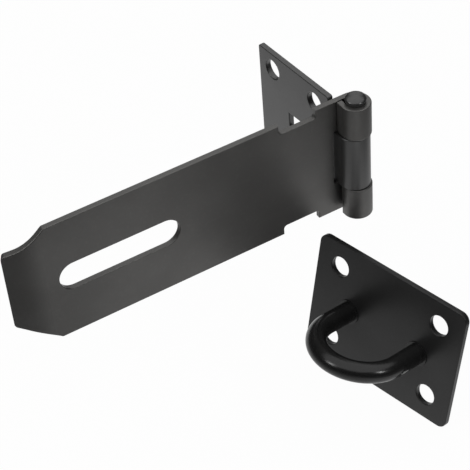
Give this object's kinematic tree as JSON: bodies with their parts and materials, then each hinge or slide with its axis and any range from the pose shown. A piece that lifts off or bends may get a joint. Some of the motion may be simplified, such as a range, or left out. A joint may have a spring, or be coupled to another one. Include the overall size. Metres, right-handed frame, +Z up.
{
  "type": "hasp latch",
  "caption": "Hinged hasp latch for a barn door: wall leaf, slotted swinging strap with lifted tip, headed hinge pin, and a round bar staple on its own plate.",
  "frame": {"origin": "centre of the leaf's four screw holes, on the leaf's wall face", "axes": "+X out of the wall, +Y along the leaf away from the pin, +Z up along the pin"},
  "size_m": [0.1222, 0.1029, 0.092],
  "materials": {
    "satin_black": "satin black powder coat",
    "pin_black": "semi-gloss black",
    "bar_black": "semi-gloss black"
  },
  "bodies": {
    "leaf_and_staple": {"fixed_leaf": "satin_black", "staple_plate": "satin_black", "staple": "bar_black"},
    "strap": {"strap": "satin_black", "hinge_pin": "pin_black"}
  },
  "joints": [
    {"name": "strap_hinge", "type": "hinge", "parent": "leaf_and_staple", "child": "strap", "pos_m": [0.0054, -0.0252, 0], "axis": [0, 0, 1], "range_deg": [-4, 280]}
  ]
}
